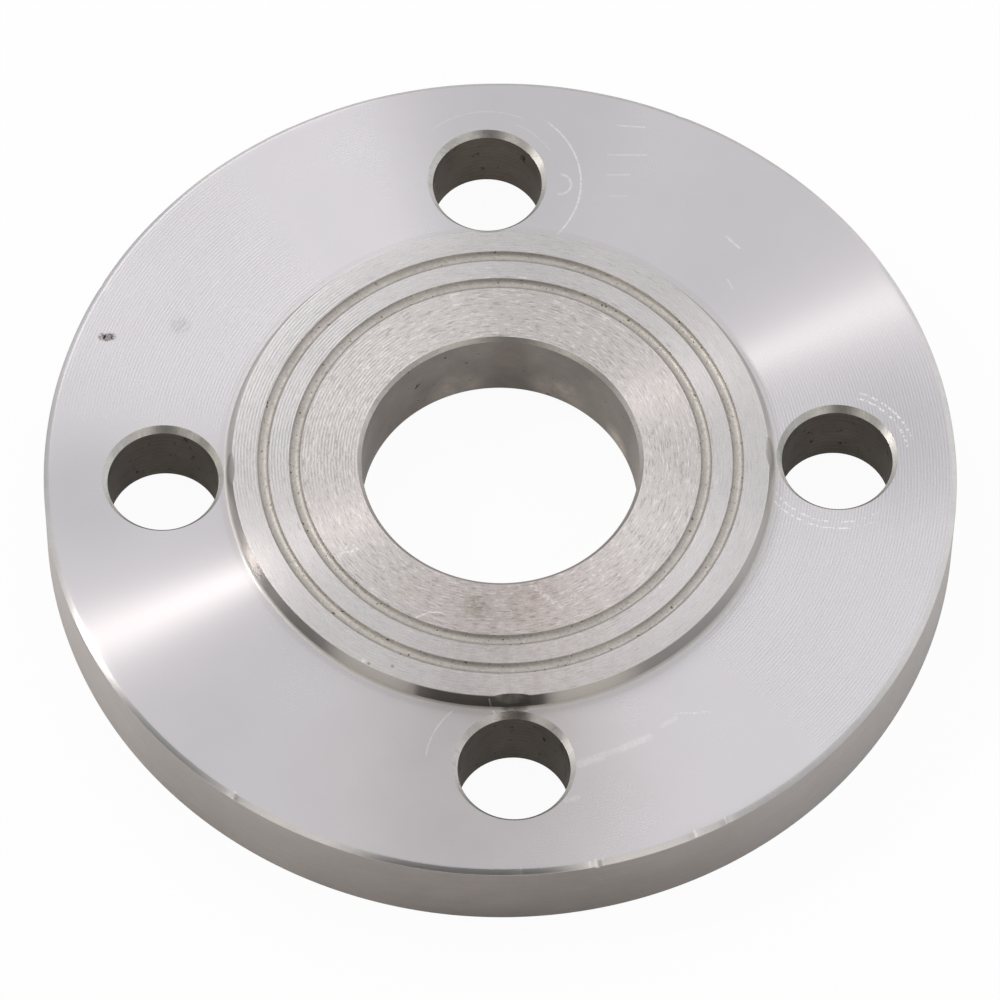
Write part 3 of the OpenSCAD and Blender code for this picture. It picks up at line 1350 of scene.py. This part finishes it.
@dataclass
class StudioFloor:
    """Pale floor under the flange."""

    radius: float = 6.0
    segments: int = 96
    drop: float = 0.00005
    colour: Colour = (0.88, 0.88, 0.88)
    camera_lift: float = 0.95
    gloss_lift: float = 0.04

    def build(self) -> bpy.types.Object:
        """Builds the floor.

        Returns:
            A round floor just under the flange.
        """
        work = bmesh.new()
        bmesh.ops.create_circle(work, cap_ends=True, segments=self.segments, radius=self.radius,
                                matrix=Matrix.Translation((0.0, 0.0, -self.drop)))
        mesh = bpy.data.meshes.new("studio_floor")
        work.to_mesh(mesh)
        work.free()
        mesh.materials.append(self.finish())
        return link_object("studio_floor", mesh)

    def finish(self) -> bpy.types.Material:
        """Builds the floor's finish: matt and pale, lifted towards white where it is seen.

        Returns:
            The material, which keeps the shadow of the flange.
        """
        material = bpy.data.materials.new("pale_floor")
        material.use_nodes = True
        canvas = Canvas(material.node_tree)
        path = canvas.node("ShaderNodeLightPath").outputs
        mirrored = canvas.math("MAXIMUM", path["Is Glossy Ray"], path["Is Transmission Ray"])
        lift = canvas.math("ADD", canvas.math("MULTIPLY", path["Is Camera Ray"], self.camera_lift),
                           canvas.math("MULTIPLY", mirrored, self.gloss_lift))
        matt = canvas.node("ShaderNodeBsdfDiffuse", {"Color": self.colour})
        white = canvas.node("ShaderNodeEmission", {"Color": (1.0, 1.0, 1.0), "Strength": 1.0})
        mixed = canvas.node("ShaderNodeMixShader", {0: lift, 1: matt.outputs[0], 2: white.outputs[0]})
        canvas.node("ShaderNodeOutputMaterial", {"Surface": mixed.outputs[0]})
        return material


def aim(place: Vector, target: Vector, roll: float = 0.0) -> Matrix:
    """Gives the pose of a lamp or a camera.

    Args:
        place: Where it stands.
        target: Where it points.
        roll: Turn about its own axis in radians.

    Returns:
        The world matrix.
    """
    turn = (target - place).to_track_quat("-Z", "Y").to_matrix().to_4x4()
    return Matrix.Translation(place) @ turn @ Matrix.Rotation(roll, 4, "Z")


def direction(azimuth: float, elevation: float) -> Vector:
    """Returns the direction at an angle round from +X and an angle up, both in degrees."""
    a, e = math.radians(azimuth), math.radians(elevation)
    return Vector((math.cos(a) * math.cos(e), math.sin(a) * math.cos(e), math.sin(e)))


@dataclass
class SoftBox:
    """Soft area lamp."""

    name: str
    azimuth: float
    elevation: float
    distance: float
    width: float
    height: float
    radiance: float
    colour: Colour = (1.0, 1.0, 1.0)
    roll: float = 0.0

    def build(self) -> bpy.types.Object:
        """Builds the lamp.

        Returns:
            The lamp, unseen by the camera itself.
        """
        data = bpy.data.lights.new(self.name, "AREA")
        data.shape = "RECTANGLE"
        data.size = self.width
        data.size_y = self.height
        data.color = self.colour
        data.energy = self.radiance * math.pi * self.width * self.height
        lamp = link_object(self.name, data)
        place = direction(self.azimuth, self.elevation) * self.distance
        lamp.matrix_world = aim(place, Vector((0.0, 0.0, 0.0)), math.radians(self.roll))
        lamp.visible_camera = False
        return lamp


@dataclass(frozen=True)
class RoomPatch:
    """Lighter or darker stretch of the room's walls, in degrees, and how bright it is."""

    azimuth: float
    half_width: float
    low: float
    high: float
    colour: Colour
    soft: float = 4.0

    def draw(self, canvas: Canvas, level: Socket, up: Socket) -> Socket:
        """Adds the nodes that tell where the patch is.

        Args:
            canvas: Node helper of the room.
            level: Direction along the floor.
            up: Sine of the angle above the floor.

        Returns:
            The patch's mask, from 0 to 1.
        """
        facing = canvas.towards(level, self.azimuth)
        inner = max(0.0, self.half_width - self.soft)
        across = canvas.ramp(facing, cos_deg(self.half_width + self.soft), cos_deg(inner))
        over = canvas.ramp(up, sin_deg(self.low - 2 * self.soft), sin_deg(self.low))
        under = canvas.ramp(up, sin_deg(self.high + 2 * self.soft), sin_deg(self.high))
        return canvas.math("MULTIPLY", across, canvas.math("MULTIPLY", over, under))


@dataclass
class StudioRoom:
    """Room round the flange, pale at the back and dark behind the camera.

    Its patches, in order: a grey band low at the back, a dark strip at the left, a bright stretch at the
    right back, a dark wall behind the camera and a cream wall on each side of it.
    """

    back_level: float = 0.91
    front_level: float = 0.16
    front_azimuth: float = -93.0
    back_elevation: float = 50.0
    fade_start: float = -0.6
    fade_end: float = 0.8
    patches: tuple[RoomPatch, ...] = (
        RoomPatch(87.0, 60.0, -20.0, 6.0, (0.40, 0.40, 0.40), 5.0),
        RoomPatch(-163.0, 12.0, -4.0, 44.0, (0.10, 0.10, 0.10), 6.0),
        RoomPatch(30.0, 36.0, 4.0, 30.0, (1.10, 1.10, 1.10), 10.0),
        RoomPatch(-98.5, 22.0, -20.0, 66.0, (0.030, 0.028, 0.026)),
        RoomPatch(-134.5, 13.5, 2.0, 54.0, (0.98, 0.94, 0.875)),
        RoomPatch(-62.0, 14.0, 2.0, 54.0, (1.06, 1.02, 0.95)),
    )

    def build(self) -> bpy.types.World:
        """Builds the world.

        Returns:
            The world, set as the scene's own.
        """
        world = bpy.data.worlds.new("studio_room")
        world.use_nodes = True
        canvas = Canvas(world.node_tree)
        ray = canvas.node("ShaderNodeTexCoord").outputs["Generated"]
        split = canvas.node("ShaderNodeSeparateXYZ", {0: ray}).outputs
        level = canvas.vector("NORMALIZE", canvas.combine(split[0], split[1], 0.0))
        back = direction(self.front_azimuth + 180.0, self.back_elevation)
        facing = canvas.vector("DOT_PRODUCT", ray, tuple(back))
        lit = canvas.ramp(facing, self.fade_start, self.fade_end)
        colour = canvas.blend(lit, (self.front_level,) * 3, (self.back_level,) * 3)
        for patch in self.patches:
            colour = canvas.blend(patch.draw(canvas, level, split[2]), colour, patch.colour)
        glow = canvas.node("ShaderNodeBackground", {"Color": colour, "Strength": 1.0})
        canvas.node("ShaderNodeOutputWorld", {"Surface": glow.outputs[0]})
        bpy.context.scene.world = world
        return world


@dataclass
class StudioCamera:
    """Camera at the viewing angle of the photograph."""

    azimuth: float = -93.026
    elevation: float = 60.40
    distance: float = 1.14660
    aim_height: float = 0.00374
    roll: float = 0.869
    lens: float = 324.90
    sensor: float = 36.0
    clip_start: float = 0.01

    def build(self) -> bpy.types.Object:
        """Builds the camera and makes it the scene's own.

        Returns:
            The camera.
        """
        data = bpy.data.cameras.new("studio_camera")
        data.sensor_fit = "HORIZONTAL"
        data.sensor_width = self.sensor
        data.lens = self.lens
        data.clip_start = self.clip_start
        camera = link_object("studio_camera", data)
        place = direction(self.azimuth, self.elevation) * self.distance
        camera.matrix_world = aim(place, Vector((0.0, 0.0, self.aim_height)), math.radians(self.roll))
        bpy.context.scene.camera = camera
        return camera


LAMPS = (
    SoftBox("key_strip", 165.5, 45.0, 2.4, 0.06, 0.32, 176.0, (1.0, 0.96, 0.90), roll=34.0),
    SoftBox("back_box", 114.0, 36.0, 2.4, 1.4, 0.9, 1.3),
)


def main() -> None:
    """Builds the flange and the studio, and reports each piece."""
    logging.basicConfig(level=logging.INFO, format="%(name)s: %(message)s")
    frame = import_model()
    bpy.context.scene.view_settings.view_transform = "Standard"
    StudioCamera().build()

    flange = TurnedFlange(FlangeSizes.from_frame(frame))
    piece = flange.build()
    flange.dress(piece)
    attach(piece, "root")
    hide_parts("flange")
    LOG.info("piece %s: %d faces, %d points", piece.name, len(piece.data.polygons), len(piece.data.vertices))

    floor = StudioFloor().build()
    StudioRoom().build()
    for lamp in LAMPS:
        lamp.build()
        LOG.info("lamp %s", lamp.name)


if __name__ == "__main__":
    main()
